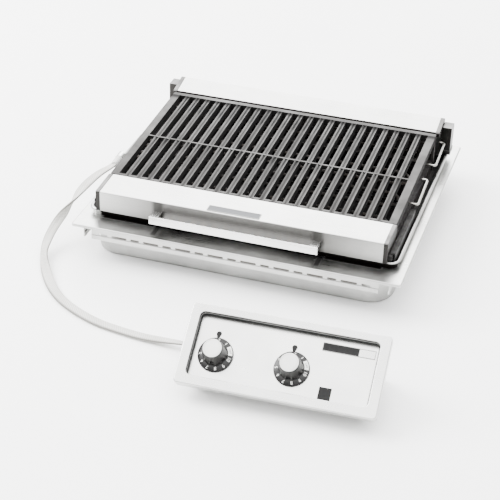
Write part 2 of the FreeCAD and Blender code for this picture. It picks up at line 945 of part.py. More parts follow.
def terminal_box_lid():
    return deck_box((box_left, box_right), (box_front, box_rear), (box_top - sheet, box_top))


def terminal_block():
    x_range = (box_left + sheet + block_left_gap, block_right)
    y_range = (box_front + 2 * sheet, box_rear - 2 * sheet)
    floor = collar_height + sheet
    return deck_box(x_range, y_range, (floor, floor + block_height))


def connector_mouth():
    """Centre of the angle connector's open end."""
    return V(box_left - connector_reach, connector_y - connector_drop, deck_top + connector_height)


def angle_connector():
    start = V(box_left, connector_y, deck_top + connector_height)
    knee = V(box_left - connector_reach, connector_y, deck_top + connector_height)
    across = cylinder(connector_radius, connector_reach, start, -X_AXIS)
    ball = Part.makeSphere(connector_radius, knee)
    down = cylinder(connector_radius, connector_drop, knee, -Y_AXIS)
    return joined([across, ball, down])


# Control panel, drawn flat: u to the right, v up the panel, w out of it
def tilted():
    """Place of the panel's own frame."""
    turn = FreeCAD.Rotation(Z_AXIS, panel_heading) * FreeCAD.Rotation(X_AXIS, panel_tilt)
    return FreeCAD.Placement(V(panel_x, panel_y, panel_z), turn)


def headed():
    """Place of the level frame under the panel: u right, s back, h up from the floor."""
    return FreeCAD.Placement(V(panel_x, panel_y, 0), FreeCAD.Rotation(Z_AXIS, panel_heading))


def on_panel(shape):
    shape.Placement = tilted() * shape.Placement
    return shape


def under_panel(shape):
    shape.Placement = headed() * shape.Placement
    return shape


def panel_block(u_range, v_range, w_range, corner):
    block = box(u_range, v_range, w_range)
    return block.makeFillet(corner, edges_along(block, Z_AXIS))


def panel_bezel():
    """Channel ring: front face, outer wall and inner wall, open at the back."""
    opening_u = (bezel_side, panel_width - bezel_side)
    opening_v = (bezel_side, panel_height - bezel_head)
    depth = (-bezel_depth, 0)
    under = (-bezel_depth, -sheet)
    outer = panel_block((0, panel_width), (0, panel_height), depth, panel_corner)
    front = [e for e in outer.Edges if all(abs(v.Z) < 1e-6 for v in e.Vertexes)]
    outer = outer.makeFillet(bend_radius, front)
    opening = panel_block(opening_u, opening_v, depth, bezel_opening_corner)
    hollow = panel_block((sheet, panel_width - sheet), (sheet, panel_height - sheet), under,
                         panel_corner - sheet)
    keep_u = (opening_u[0] - sheet, opening_u[1] + sheet)
    keep_v = (opening_v[0] - sheet, opening_v[1] + sheet)
    keep = panel_block(keep_u, keep_v, under, bezel_opening_corner + sheet)
    return on_panel(outer.cut(opening).cut(hollow.cut(keep)))


def control_plate():
    u_range = (plate_margin, panel_width - plate_margin)
    v_range = (plate_margin, panel_height - plate_margin)
    plate = panel_block(u_range, v_range, (panel_plate_bottom, panel_plate_top), panel_corner - plate_margin)
    holes = []
    for u in knob_places.values():
        base = V(u, knob_height, panel_plate_bottom)
        holes.append(cylinder(bushing_radius + screw_gap, deck_sheet, base, Z_AXIS))
    return on_panel(plate.cut(group(holes)))


def badge_plate():
    """Blank badge."""
    w_range = (panel_plate_top, panel_plate_top + thin_sheet)
    return on_panel(box((badge_left, badge_right), (badge_low, badge_high), w_range))


def plate_back(v):
    """Point (s, h) of the level frame on the plate's back, a way v up the panel."""
    tilt = math.radians(panel_tilt)
    back = v * math.cos(tilt) - panel_plate_bottom * math.sin(tilt)
    rise = panel_z + v * math.sin(tilt) + panel_plate_bottom * math.cos(tilt)
    return (back, rise)


def panel_back_box():
    outline = [plate_back(box_foot), (box_base_front, 0), (box_base_rear, 0), plate_back(box_head)]
    width = panel_width - 2 * box_side_inset
    case = prism(outline, width, box_side_inset)
    tilt = math.radians(panel_tilt)
    normal = V(0, -math.sin(tilt), math.cos(tilt))
    mouth = [f for f in case.Faces if f.normalAt(0, 0).dot(normal) > 1 - 1e-6]
    case = case.makeThickness(mouth, -sheet, 1e-3)
    lead = cylinder(cord_radius, sheet, V(box_side_inset, gland_back, gland_height), X_AXIS)
    conduit_base = V(panel_width - box_side_inset - sheet, conduit_back, conduit_height)
    conduit = cylinder(conduit_radius, sheet, conduit_base, X_AXIS)
    return under_panel(case.cut(lead).cut(conduit))


def cord_gland():
    base = V(box_side_inset, gland_back, gland_height)
    nut = cylinder(gland_nut_radius, gland_nut_height, base, -X_AXIS)
    barrel = cylinder(gland_radius, gland_reach, base, -X_AXIS)
    return under_panel(joined([nut, barrel]))


# Switches
def switch_body(u):
    half = switch_size / 2
    w_range = (panel_plate_bottom - switch_depth, panel_plate_bottom)
    body = box((u - half, u + half), (knob_height - half, knob_height + half), w_range)
    base = V(u, knob_height, panel_plate_bottom)
    bushing = cylinder(bushing_radius, deck_sheet + bushing_proud, base, Z_AXIS)
    bore_base = V(u, knob_height, panel_plate_bottom - spindle_in_switch)
    bore_length = spindle_in_switch + deck_sheet + bushing_proud
    bore = cylinder(spindle_radius + spindle_gap, bore_length, bore_base, Z_AXIS)
    return on_panel(joined([body, bushing]).cut(bore))


def switch_nuts():
    nuts = []
    for u in knob_places.values():
        base = V(u, knob_height, panel_plate_top)
        nut = hexagon(nut_across_flats, nut_height, base, Z_AXIS)
        nuts.append(on_panel(nut.cut(cylinder(bushing_radius + screw_gap, nut_height, base, Z_AXIS))))
    return group(nuts)


def spindle(u):
    start = panel_plate_bottom - spindle_in_switch + slide_gap
    length = panel_plate_top + spindle_above_plate - start
    return on_panel(cylinder(spindle_radius, length, V(u, knob_height, start), Z_AXIS))


# Knobs
def turned(points, u):
    """Solid of revolution from (radius, height over the plate) points."""
    corners = [V(radius, 0, panel_plate_top + height) for radius, height in points]
    face = Part.Face(Part.makePolygon(corners + corners[:1]))
    solid = face.revolve(V(0, 0, 0), Z_AXIS, 360)
    solid.translate(V(u, knob_height, 0))
    return solid


def knob_dial(u):
    """Thin dished skirt whose rim runs close to the plate."""
    flat = dial_crown - dial_thickness
    outline = [
        (dial_radius, dial_gap),
        (dial_radius, dial_gap + dial_thickness),
        (dial_crown_radius, dial_crown),
        (dial_hole_radius, dial_crown),
        (dial_hole_radius, flat),
        (dial_crown_radius - dial_thickness, flat),
        (dial_radius - dial_thickness, dial_gap),
    ]
    return on_panel(turned(outline, u))


def knob_grip(u):
    """Tapered grip with flutes, bored for the spindle."""
    bore = spindle_radius + spindle_gap
    outline = [
        (bore, dial_crown),
        (grip_base_radius, dial_crown),
        (grip_top_radius, grip_top),
        (0, grip_top),
        (0, spindle_above_plate + slide_gap),
        (bore, spindle_above_plate + slide_gap),
    ]
    grip = turned(outline, u)
    flutes = []
    for number in range(grip_flutes):
        turn = math.radians(360 / grip_flutes * (number + 0.5))
        across = u + flute_offset * math.cos(turn)
        up = knob_height + flute_offset * math.sin(turn)
        flutes.append(cylinder(flute_radius, grip_top, V(across, up, panel_plate_top), Z_AXIS))
    return on_panel(grip.cut(group(flutes)))


def knob_cap(u):
    base = V(u, knob_height, panel_plate_top + grip_top)
    cap = cylinder(cap_radius, cap_height, base, Z_AXIS)
    rim = [e for e in cap.Edges if e.CenterOfMass.z > base.z + cap_height / 2 and len(e.Vertexes) == 1]
    return on_panel(cap.makeChamfer(cap_chamfer, rim))


# Control cord
def cord_points():
    """Route from the angle connector to the gland, laid on the floor between them."""
    lie = V(0, 0, cord_radius + floor_gap)
    mouth = connector_mouth()
    below = V(mouth.x, mouth.y, 0)
    gland = headed().multVec(V(box_side_inset - gland_reach, gland_back, gland_height))
    under = V(gland.x, gland.y, 0)
    lead = headed().multVec(V(box_side_inset - gland_reach - gland_lead, gland_back, gland_height))
    route = [
        mouth,
        mouth + V(0, -28, 0),
        mouth + V(-16, -62, -2),
        mouth + V(-30, -108, -13),
        mouth + V(-38, -142, -31),
        below + V(-53, -176, 38),
        below + V(-56, -212, 20),
        below + V(-45, -251, 10),
        below + V(-23, -288, 0) + lie,
        below + V(6, -328, 0) + lie,
        below + V(41, -361, 0) + lie,
        below + V(85, -386, 0) + lie,
        under + V(-186, 19, 0) + lie,
        under + V(-146, 12, 0) + lie,
        under + V(-105, 6, 0) + lie,
        under + V(-65, 3, 8),
        lead,
        gland,
    ]
    return route


def control_cord():
    points = cord_points()
    radii = []
    for before, corner, after in zip(points, points[1:], points[2:]):
        first = corner - before
        second = after - corner
        turn = first.getAngle(second)
        radii.append(cord_bend_share * min(first.Length, second.Length) / math.tan(turn / 2))
    cord = rod(points, radii, cord_radius)
    path = rounded_path(points, radii)
    section = math.pi * cord_radius ** 2
    print("cord length", round(path.Length, 1), "least radius", round(min(radii), 1))
    print("cord radii", [round(radius) for radius in radii])
    print("cord volume over section times length", round(cord.Volume / section / path.Length, 5))
    return cord


# Every node and the solid or group that it holds
nodes = {
    "deck_flange": deck_flange(),
    "rim_collar": rim_collar(),
    "outer_tub": outer_tub(),
    "insulation_pad": insulation_pad(),
    "well_liner": well_liner(),
    "drip_pan": drip_pan(),
    "hold_down_strip_front": end_strip(0),
    "hold_down_strip_rear": end_strip(180),
    "hold_down_strip_left": side_strip(90),
    "hold_down_strip_right": side_strip(-90),
    "element_frame": element_frame(),
    "element_straps": element_straps(),
    "heating_element_front": front_element(),
    "heating_element_rear": rear_element(),
    "lift_wire_front": lift_wire(front_wire_y),
    "lift_wire_rear": lift_wire(rear_wire_y),
    "grate_support_front": front_grate_support(),
    "grate_support_rear": rear_grate_support(),
    "drawer_runner_left": mirrored(drawer_runner()),
    "drawer_runner_right": drawer_runner(),
    "rear_cover": rear_cover(),
    "rear_end_plate_left": mirrored(rear_end_plate()),
    "rear_end_plate_right": rear_end_plate(),
    "rear_post_left": mirrored(rear_post()),
    "rear_post_right": rear_post(),
    "rear_back_panel": rear_back_panel(),
    "terminal_box": terminal_box(),
    "terminal_box_lid": terminal_box_lid(),
    "terminal_block": terminal_block(),
    "angle_connector": angle_connector(),
    "control_cord": control_cord(),
    "panel_bezel": panel_bezel(),
    "control_plate": control_plate(),
    "badge_plate": badge_plate(),
    "panel_back_box": panel_back_box(),
    "cord_gland": cord_gland(),
    "switch_nuts": switch_nuts(),
    "front_cover": front_cover(),
    "front_end_plate_left": mirrored(front_end_plate()),
    "front_end_plate_right": front_end_plate(),
    "grease_trough": grease_trough(),
    "drawer_arm_left": mirrored(drawer_arm()),
    "drawer_arm_right": drawer_arm(),
    "handle_bar": handle_bar(),
    "handle_posts": handle_posts(),
    "handle_screws": handle_screws(),
    "name_plate": name_plate(),
    "cooking_grate": cooking_grate(),
}
for side, u in knob_places.items():
    nodes["switch_body_" + side] = switch_body(u)
    nodes["switch_spindle_" + side] = spindle(u)
    nodes["knob_dial_" + side] = knob_dial(u)
    nodes["knob_grip_" + side] = knob_grip(u)
    nodes["knob_cap_" + side] = knob_cap(u)

for name, shape in nodes.items():
    if not shape.isValid() or not shape.Solids:
        print("bad shape", name)
    shape.exportStep("parts/" + name + ".step")

for side, u in knob_places.items():
    anchor = tilted().multVec(V(u, knob_height, panel_plate_top))
    axis = tilted().Rotation.multVec(Z_AXIS)
    print("knob", side, [round(value, 4) for value in anchor], [round(value, 6) for value in axis])
print("nodes", len(nodes))
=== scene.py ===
import math

import bmesh
import bpy
from mathutils import Matrix, Vector


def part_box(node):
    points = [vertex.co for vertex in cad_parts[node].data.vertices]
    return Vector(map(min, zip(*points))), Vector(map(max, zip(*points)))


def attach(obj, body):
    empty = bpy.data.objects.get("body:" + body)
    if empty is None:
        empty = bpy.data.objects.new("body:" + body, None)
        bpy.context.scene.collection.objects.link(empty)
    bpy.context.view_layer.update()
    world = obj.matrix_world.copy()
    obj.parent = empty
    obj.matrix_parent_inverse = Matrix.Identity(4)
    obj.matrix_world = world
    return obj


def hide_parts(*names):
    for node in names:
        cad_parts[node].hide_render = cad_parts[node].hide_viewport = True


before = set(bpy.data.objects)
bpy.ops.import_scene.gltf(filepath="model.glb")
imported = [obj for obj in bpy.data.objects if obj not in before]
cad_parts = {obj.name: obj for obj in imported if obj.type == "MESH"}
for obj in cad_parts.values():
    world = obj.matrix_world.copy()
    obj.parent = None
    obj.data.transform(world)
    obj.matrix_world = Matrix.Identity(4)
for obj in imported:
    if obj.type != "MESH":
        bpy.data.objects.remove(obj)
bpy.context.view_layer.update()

MM = 0.001


# Photographer's table and light
# A pale paper sweep under the unit, one wide softbox behind it that the flat
# tops mirror, a second one at its left and a bright ceiling over a dim front.
def colour(code):
    """Linear colour of an sRGB hex code."""
    parts = [int(code[start:start + 2], 16) / 255 for start in (0, 2, 4)]
    linear = [part / 12.92 if part <= 0.04045 else ((part + 0.055) / 1.055) ** 2.4 for part in parts]
    return (*linear, 1.0)


def add_node(tree, kind, settings=None, inputs=None):
    """Add a shader node; an input takes a value or another node's output."""
    node = tree.nodes.new(kind)
    for name, value in (settings or {}).items():
        setattr(node, name, value)
    for name, value in (inputs or {}).items():
        if isinstance(value, bpy.types.NodeSocket):
            tree.links.new(value, node.inputs[name])
        else:
            node.inputs[name].default_value = value
    return node


def new_material(name, **values):
    """Principled material with its even values set, and its node tree and shader."""
    material = bpy.data.materials.new(name)
    material.use_nodes = True
    shader = material.node_tree.nodes["Principled BSDF"]
    for socket, value in values.items():
        shader.inputs[socket.replace("_", " ")].default_value = value
    return material, material.node_tree, shader


def spread(tree, value, low, high, start=0.0, end=1.0):
    """Map a texture's value from one range onto another."""
    inputs = {"Value": value, "From Min": start, "From Max": end, "To Min": low, "To Max": high}
    return add_node(tree, "ShaderNodeMapRange", inputs=inputs).outputs["Result"]


def blend_colours(tree, factor, first, second):
    """Mix two colours by a texture's value."""
    mix = add_node(tree, "ShaderNodeMix", {"data_type": "RGBA"}, {0: factor, 6: first, 7: second})
    return mix.outputs[2]


def from_texture(tree, output):
    """One kind of texture coordinates, such as the object's own space."""
    return add_node(tree, "ShaderNodeTexCoord").outputs[output]


def split(tree, vector):
    """The X, Y and Z outputs of a vector."""
    return add_node(tree, "ShaderNodeSeparateXYZ", inputs={"Vector": vector}).outputs


def reckon(tree, operation, first, second=0.0):
    """Result of one arithmetic operation on texture values."""
    inputs = {0: first, 1: second}
    return add_node(tree, "ShaderNodeMath", {"operation": operation}, inputs).outputs["Value"]


def noise(tree, place, scale, detail, **more):
    """Cloudy value at a place; scale is how many clouds fit in a metre."""
    inputs = {"Vector": place, "Scale": scale, "Detail": detail, **more}
    return add_node(tree, "ShaderNodeTexNoise", inputs=inputs).outputs["Fac"]


def as_object(form, name, *materials):
    """Turn a bmesh into an object at the origin, smooth but for its sharp edges."""
    mesh = bpy.data.meshes.new(name)
    form.to_mesh(mesh)
    form.free()
    mesh.shade_smooth()
    mesh.set_sharp_from_angle(angle=math.radians(38))
    for material in materials:
        mesh.materials.append(material)
    piece = bpy.data.objects.new(name, mesh)
    bpy.context.scene.collection.objects.link(piece)
    return piece


# Matt white paper: no gloss, only a trace of mottling
paper, tree, shader = new_material("matt_white_paper", Roughness=0.95)
shader.inputs["Specular IOR Level"].default_value = 0.1
place = from_texture(tree, "Object")
mottle = noise(tree, place, 2.5, 2.0)
tone = blend_colours(tree, mottle, colour("F3F3F2"), colour("F8F8F8"))
tree.links.new(tone, shader.inputs["Base Color"])

half_sweep = 20.0
under_unit = 0.1 * MM
form = bmesh.new()
bmesh.ops.create_grid(form, x_segments=4, y_segments=4, size=half_sweep)
bmesh.ops.translate(form, verts=form.verts, vec=(0, 0, -under_unit))
floor = as_object(form, "paper_sweep", paper)


def softbox(name, place, aim, size, power):
    """Square softbox that faces a point; metres and watts."""
    light = bpy.data.lights.new(name, "AREA")
    light.size = size
    light.energy = power
    lamp = bpy.data.objects.new(name, light)
    turn = (Vector(aim) - Vector(place)).to_track_quat("-Z", "Y")
    lamp.matrix_world = Matrix.Translation(place) @ turn.to_matrix().to_4x4()
    bpy.context.scene.collection.objects.link(lamp)


softbox("softbox_rear", (-0.95, 3.1, 2.1), (0.0, 0.0, 0.1), 2.6, 250)
softbox("softbox_left", (-2.6, -0.4, 2.4), (0.0, -0.2, 0.1), 2.2, 330)

# The room is dim low down and in front, brighter behind and bright overhead
world = bpy.data.worlds.new("white_room")
world.use_nodes = True
room = world.node_tree
towards = from_texture(room, "Generated")
parts = split(room, towards)
height_light = spread(room, parts["Z"], 0.5, 7.0, 0.3, 0.95)
rear_light = spread(room, parts["Y"], 0.0, 1.0, -0.1, 0.9)
strength = reckon(room, "ADD", height_light, rear_light)
room.links.new(strength, room.nodes["Background"].inputs["Strength"])
room.nodes["Background"].inputs["Color"].default_value = colour("FFFFFF")
bpy.context.scene.world = world

# Camera solved from the object's straight edges: place in metres, turns in degrees
camera_place = (0.65510, -2.31658, 1.39357)
camera_heading = 16.887
camera_pitch = 58.550
camera_roll = 1.688
lens = bpy.data.cameras.new("studio_camera")
lens.sensor_width = 36.0
lens.lens = 105.16
lens.clip_end = 50.0
camera = bpy.data.objects.new("studio_camera", lens)
stand = Matrix.Translation(camera_place)
for angle, axis in ((camera_heading, "Z"), (camera_pitch, "X"), (camera_roll, "Z")):
    stand = stand @ Matrix.Rotation(math.radians(angle), 4, axis)
camera.matrix_world = stand
bpy.context.scene.collection.objects.link(camera)
bpy.context.scene.camera = camera


# Deck flange and raised collar
# One pressed and welded sheet of type 304 stainless steel, 1.5 mm thick, belt
# polished from side to side; the collar's edge is rolled outward to a bead.
def emboss(tree, shader, height, depth, strength=1.0):
    """Raise a surface by a texture's value, up to a depth in mm."""
    inputs = {"Strength": strength, "Distance": depth * MM, "Height": height}
    relief = add_node(tree, "ShaderNodeBump", inputs=inputs)
    tree.links.new(relief.outputs["Normal"], shader.inputs["Normal"])


def brushed_metal(name, light, dark, roughness, along, grain=1.1, wear=0.05):
    """Metal with belt lines along one axis; grain is their width in mm, wear the spread of its gloss."""
    material, tree, shader = new_material(name, Metallic=1.0)
    place = from_texture(tree, "Object")
    line_stretch = 60
    scale = [1 / (grain * MM)] * 3
    scale["xyz".index(along)] /= line_stretch
    lines = add_node(tree, "ShaderNodeMapping", inputs={"Vector": place, "Scale": scale})
    belt = noise(tree, lines.outputs["Vector"], 1.0, 3.0, Roughness=0.65)
    smudge = noise(tree, place, 14.0, 4.0, Roughness=0.55)
    tone = blend_colours(tree, spread(tree, smudge, 0, 1, 0.35, 0.65), colour(dark), colour(light))
    lined = blend_colours(tree, spread(tree, belt, 0.0, 0.35, 0.4, 0.75), tone, colour(dark))
    tree.links.new(lined, shader.inputs["Base Color"])
    scratched = spread(tree, belt, -wear, wear, 0.3, 0.7)
    smudged = spread(tree, smudge, roughness - wear, roughness + wear, 0.3, 0.7)
    tree.links.new(reckon(tree, "ADD", scratched, smudged), shader.inputs["Roughness"])
    emboss(tree, shader, belt, 0.03, 0.25)
    return material


def dress(material, *names):
    """Give CAD nodes that keep their shape a finish."""
    for name in names:
        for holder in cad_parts[name].material_slots:
            holder.material = material


def eased(node, width, material, body="charbroiler", segments=2, accept=None):
    """Merged copy of a node, shown in its place, with the sharp edges that accept allows eased."""
    form = bmesh.new()
    form.from_mesh(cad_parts[node].data)
    bmesh.ops.remove_doubles(form, verts=form.verts, dist=0.002 * MM)
    bmesh.ops.dissolve_limit(form, angle_limit=math.radians(0.3), verts=form.verts, edges=form.edges)
    sharp = [edge for edge in form.edges if edge.calc_face_angle(0) > math.radians(35)]
    if accept:
        sharp = [edge for edge in sharp if accept((edge.verts[0].co + edge.verts[1].co) / 2)]
    bmesh.ops.bevel(form, geom=sharp, offset=width * MM, offset_type="OFFSET", affect="EDGES",
                    segments=segments, profile=0.5, clamp_overlap=True, material=-1)
    piece = as_object(form, "finished_" + node, material)
    weighted = piece.modifiers.new("even_faces", "WEIGHTED_NORMAL")
    weighted.keep_sharp = True
    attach(piece, body)
    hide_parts(node)
    return piece


# Belt-polished stainless: pale grey, satin, lines from side to side.
# The real lines are about 0.1 mm wide and are drawn 1.1 mm wide to show at all.
sheet_finish = ("BCBCBA", "A8A8A6", 0.33)
stainless = brushed_metal("belt_polished_stainless_steel", *sheet_finish, "x")


def overlaid(material, mask, second):
    """Lay a second colour over a finish by a texture's value."""
    tree = material.node_tree
    base = tree.nodes["Principled BSDF"].inputs["Base Color"]
    tree.links.new(blend_colours(tree, mask, base.links[0].from_socket, second), base)


def painted_shade(material, front, back, half_width, middle=0.0, shade_tones=("0B0A0A", "1C1917"), roughness=0.75,
              tops=True, soft=4.0, most=1.0):
    """Lay painted shade on a finish between two depths, left and right of a middle, all in mm.

    Its sides fade out over the soft width, most is its share where it is
    thickest, and without tops the level faces get none.
    """
    front_fade = 4.0
    back_fade = 1.0
    tree = material.node_tree
    place = from_texture(tree, "Object")
    ragged = noise(tree, place, 90.0, 4.0)
    parts = split(tree, place)
    across = reckon(tree, "ABSOLUTE", reckon(tree, "SUBTRACT", parts["X"], middle * MM))
    fade = spread(tree, parts["Y"], 0.0, most, front * MM, (front + front_fade) * MM)
    stop = spread(tree, parts["Y"], 1.0, 0.0, back * MM, (back + back_fade) * MM)
    sides = spread(tree, across, 1.0, 0.0, (half_width - soft) * MM, half_width * MM)
    mask = reckon(tree, "MULTIPLY", reckon(tree, "MULTIPLY", fade, stop), sides)
    if not tops:
        upward = split(tree, from_texture(tree, "Normal"))["Z"]
        mask = reckon(tree, "MULTIPLY", mask, spread(tree, upward, 1.0, 0.0, 0.1, 0.5))
    overlaid(material, mask, blend_colours(tree, ragged, colour(shade_tones[0]), colour(shade_tones[1])))
    gloss = tree.nodes["Principled BSDF"].inputs["Roughness"]
    inputs = {0: mask, 2: gloss.links[0].from_socket, 3: roughness}
    tree.links.new(add_node(tree, "ShaderNodeMix", {"data_type": "FLOAT"}, inputs).outputs[0], gloss)


deck_steel = brushed_metal("belt_polished_deck_steel", *sheet_finish, "x")
# Painted shade under the drawer, which reaches further forward on both sides of the handle
shade_back = -200.0
painted_shade(deck_steel, -220.0, shade_back, 262.0)
for middle, half_width in ((-208.0, 54.0), (206.0, 56.0)):
    painted_shade(deck_steel, -234.0, shade_back, half_width, middle, soft=8.0)
# A painted shadow under each post of the handle
for middle in (-150.0, 148.0):
    painted_shade(deck_steel, -261.0, -226.0, 8.0, middle, ("3A3938", "4A4948"), 0.5, soft=5.0)
eased("deck_flange", 0.35, deck_steel)
collar_steel = brushed_metal("rolled_collar_steel", *sheet_finish, "x")
# Painted shade on the collar's upright front wall under the drawer
painted_shade(collar_steel, -240.0, -205.0, 278.0, 14.0, tops=False)
eased("rim_collar", 0.2, collar_steel)


# Outer tub, insulation, well liner and drip pan
# The tub and the liner are deep-drawn aluminised steel with a pad of mineral
# wool between them; the pan is thin blued steel that years of fat have darkened.
drawn_finish = ("B2B2B0", "9A9A98", 0.42)
drawn_steel = brushed_metal("drawn_aluminised_steel", *drawn_finish, "x", grain=2.0)
tub_shaded_steel = brushed_metal("aluminised_steel_with_painted_shade", *drawn_finish, "x", grain=2.0)
tree = tub_shaded_steel.node_tree
parts = split(tree, from_texture(tree, "Object"))
# Painted shade high up on the wall behind the strips, but not at the corners
upper = spread(tree, parts["Z"], 0.0, 1.0, 29 * MM, 37 * MM)
middle = spread(tree, reckon(tree, "ABSOLUTE", parts["X"]), 1.0, 0.0, 228 * MM, 242 * MM)
overlaid(tub_shaded_steel, reckon(tree, "MULTIPLY", upper, middle), colour("4E4B48"))
eased("outer_tub", 0.3, tub_shaded_steel)

# Mineral wool: cream fibres that lie flat in all directions, no gloss
wool, tree, shader = new_material("mineral_wool_felt", Roughness=0.95)
place = from_texture(tree, "Object")
fibres = noise(tree, place, 420.0, 6.0, Distortion=2.5)
tone = blend_colours(tree, fibres, colour("B9AE8C"), colour("E3DCC4"))
tree.links.new(tone, shader.inputs["Base Color"])
emboss(tree, shader, fibres, 0.6)
dress(wool, "insulation_pad")


def heat_darkened(name, light, dark, roughness, spot):
    """Steel under an oxide and fat film; spot is the size of its clouds in mm."""
    material, tree, shader = new_material(name, Metallic=0.35)
    shader.inputs["Specular IOR Level"].default_value = 0.25
    place = from_texture(tree, "Object")
    clouds = noise(tree, place, 1 / (spot * MM), 6.0, Roughness=0.6, Distortion=0.6)
    grit = noise(tree, place, 900.0, 2.0)
    tone = blend_colours(tree, spread(tree, clouds, 0, 1, 0.35, 0.65), colour(dark), colour(light))
    tree.links.new(tone, shader.inputs["Base Color"])
    dull = spread(tree, clouds, roughness + 0.12, roughness - 0.1, 0.3, 0.7)
    tree.links.new(dull, shader.inputs["Roughness"])
    emboss(tree, shader, grit, 0.06, 0.4)
    return material


# Blued steel: near black with brown-grey clouds, dull satin
blued_steel = heat_darkened("blued_pan_steel", "161413", "080707", 0.7, spot=35.0)
dress(blued_steel, "well_liner")
eased("drip_pan", 0.2, blued_steel)


# Hold-down strips
# Four folded and punched strips of 1.2 mm stainless steel under the flange;
# clamps hook into their slots and draw the unit down onto the worktop.
for side in ("front", "rear"):
    eased("hold_down_strip_" + side, 0.2, stainless)
cross_brushed = brushed_metal("belt_polished_stainless_steel_lengthways", *sheet_finish, "y")
for side in ("left", "right"):
    eased("hold_down_strip_" + side, 0.2, cross_brushed)


# Frame and straps of the heating elements, grate supports, drawer runners
# Plain folded mild steel, spot welded, left bare and browned by the heat.
frame_steel = heat_darkened("browned_mild_steel", "242120", "121010", 0.65, spot=16.0)
dress(frame_steel, "element_frame")
eased("element_straps", 0.2, frame_steel)
dress(frame_steel, "grate_support_front", "grate_support_rear")
runner_steel = heat_darkened("bare_runner_steel", "2C2B2A", "1C1B1B", 0.65, spot=16.0)
for side in ("left", "right"):
    eased("drawer_runner_" + side, 0.25, runner_steel)


# Heating elements
# Two tubular elements bent from 8 mm Incoloy tube, four runs each; the
# sheath goes a mottled grey with straw and blue tints once it has been hot.
sheath, tree, shader = new_material("oxidised_incoloy_sheath", Metallic=1.0)
place = from_texture(tree, "Object")
tint = noise(tree, place, 28.0, 3.0)
scale_grit = noise(tree, place, 700.0, 3.0, Roughness=0.7)
warm = blend_colours(tree, spread(tree, tint, 0, 1, 0.35, 0.7), colour("2A2928"), colour("34302D"))
tone = blend_colours(tree, spread(tree, scale_grit, 0, 0.6, 0.45, 0.75), warm, colour("19191A"))
tree.links.new(tone, shader.inputs["Base Color"])
tree.links.new(spread(tree, scale_grit, 0.42, 0.62, 0.3, 0.7), shader.inputs["Roughness"])
emboss(tree, shader, scale_grit, 0.05, 0.3)
dress(sheath, "heating_element_front", "heating_element_rear")


# Lift wires
# 4.5 mm nickel-plated steel wire under the elements, bent up into a loop at
# the right so that the cook can raise them for cleaning.
plated_wire = brushed_metal("nickel_plated_wire", "B2B1AD", "93918C", 0.3, "x", grain=0.8, wear=0.04)
tree = plated_wire.node_tree
reach = split(tree, from_texture(tree, "Object"))["X"]
# The runs between the elements are smoked black, the loop beside the grate stays bright
smoke = spread(tree, reach, 1.0, 0.0, 256 * MM, 266 * MM)
overlaid(plated_wire, smoke, colour("151413"))
dress(plated_wire, "lift_wire_front", "lift_wire_rear")


# Cooking grate
# One grey-iron casting: 23 bars with a grease groove each, side rails, end rails
# and a cross rib. Its top is ground bright by use, its flanks are dark with soot
# and painted shade, and fat lies in the grooves, with painted shadow in them in
# front of the rib and the rear rail.
iron, tree, shader = new_material("ground_grey_cast_iron")
shader.inputs["Specular IOR Level"].default_value = 0.2
place = from_texture(tree, "Object")
# Sand-cast skin: grains near 0.4 mm, drawn 1.2 mm so that they show
sand = noise(tree, place, 830.0, 3.0)
scorch = noise(tree, place, 22.0, 5.0)
facing = split(tree, from_texture(tree, "Normal"))["Z"]
depth = split(tree, place)["Y"]
# Painted shadow in the grooves just in front of the cross rib and of the rear rail
before_rib = reckon(tree, "LESS_THAN", depth, -13 * MM)
rib_shadow = spread(tree, depth, 0.0, 1.0, -54 * MM, -26 * MM)
rib_shadow = reckon(tree, "MULTIPLY", rib_shadow, before_rib)
rail_shadow = spread(tree, depth, 0.0, 1.0, 94 * MM, 106 * MM)
painted_shadow = reckon(tree, "MAXIMUM", rib_shadow, rail_shadow)
worn = blend_colours(tree, spread(tree, scorch, 0, 1, 0.35, 0.65), colour("3A3938"), colour("494847"))
# The flanks' near-black is soot and painted shade
sooted_and_shaded = blend_colours(tree, sand, colour("0B0A0A"), colour("181716"))
groove = blend_colours(tree, painted_shadow, colour("333231"), colour("0D0D0C"))
flank = blend_colours(tree, spread(tree, facing, 0, 1, 0.35, 0.7), sooted_and_shaded, groove)
ground = spread(tree, facing, 0, 1, 0.88, 0.98)
tone = blend_colours(tree, ground, flank, worn)
# Painted shadow of the rear cover's edge: there the whole top is dark, ridges and all
cover_shadow = spread(tree, depth, 0.0, 0.85, 144 * MM, 152 * MM)
rail_start = reckon(tree, "LESS_THAN", depth, 158 * MM)
shaded = reckon(tree, "MULTIPLY", cover_shadow, rail_start)
tone = blend_colours(tree, shaded, tone, colour("0E0D0D"))
# Bare iron shines; where soot, fat or painted shadow lies it is neither metallic nor smooth
bank = spread(tree, facing, 0, 0.6, 0.7, 0.8)
bank = reckon(tree, "MULTIPLY", bank, spread(tree, painted_shadow, 1, 0))
bare = reckon(tree, "MAXIMUM", bank, ground)
bare = reckon(tree, "MULTIPLY", bare, spread(tree, shaded, 1, 0))
tree.links.new(spread(tree, bare, 0.0, 0.85), shader.inputs["Metallic"])
tree.links.new(tone, shader.inputs["Base Color"])
inputs = {0: bare, 2: 0.95, 3: spread(tree, scorch, 0.62, 0.5, 0.3, 0.7)}
dull = add_node(tree, "ShaderNodeMix", {"data_type": "FLOAT"}, inputs).outputs[0]
tree.links.new(dull, shader.inputs["Roughness"])
emboss(tree, shader, sand, 0.12, 0.35)
eased("cooking_grate", 0.2, iron, "grate")


# Grease drawer
# A folded stainless front with cast end plates closes the trough that the
# grate drains into; two flat arms carry it in the runners beside the grate.
front_steel = brushed_metal("belt_polished_drawer_steel", *sheet_finish, "x")
